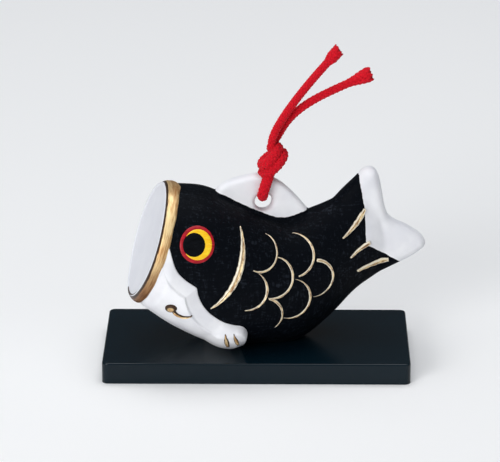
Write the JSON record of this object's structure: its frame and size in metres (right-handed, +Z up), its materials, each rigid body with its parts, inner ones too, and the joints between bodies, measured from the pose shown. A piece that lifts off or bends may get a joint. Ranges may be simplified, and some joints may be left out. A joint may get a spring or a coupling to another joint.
{
  "type": "carp streamer bell",
  "caption": "Ceramic bell shaped like a carp streamer, with raised gold scales and a red knotted cord, on a black lacquered board.",
  "frame": {"origin": "centre of the board's underside", "axes": "+X along the board towards the carp's tail, +Z up; the carp's mouth points to -X and is turned 7.5 degrees towards -Y"},
  "size_m": [0.1282, 0.0605, 0.1262],
  "materials": {
    "black_lacquer": "satin black lacquer",
    "black_slip": "brushed matt black",
    "white_slip": "matt white",
    "gold_paint": "brushed gold paint",
    "red_paint": "matt red",
    "yellow_paint": "matt yellow",
    "bare_clay": "unglazed",
    "red_cord": "round braid"
  },
  "bodies": {
    "board": {"board": "black_lacquer"},
    "bell": {"bell_shell": "black_slip", "mouth_face": "white_slip", "mouth_band": "gold_paint", "jaw_relief": "white_slip", "eye_rings": "red_paint", "eye_irises": "yellow_paint", "eye_pupils": "black_slip", "gill_lines": "gold_paint", "scale_lines": "gold_paint", "tail_rays": "gold_paint", "barbels": "gold_paint", "fin_marks": "gold_paint"},
    "pellet": {"rattle_pellet": "bare_clay"},
    "cord": {"cord_loop": "red_cord", "cord_knot": "red_cord", "cord_tail_upper": "red_cord", "cord_tail_lower": "red_cord"}
  },
  "joints": [
    {"name": "bell_lift", "type": "slide", "parent": "board", "child": "bell", "axis": [0, 0, 1], "range_m": [0, 0.05]},
    {"name": "pellet_roll", "type": "slide", "parent": "bell", "child": "pellet", "axis": [0.9914, 0.1305, 0], "range_m": [-0.014, 0.002]},
    {"name": "cord_swing", "type": "hinge", "parent": "bell", "child": "cord", "pos_m": [0.00248, 0.00033, 0.0663], "axis": [0.1305, -0.9914, 0], "range_deg": [-10, 10]}
  ]
}
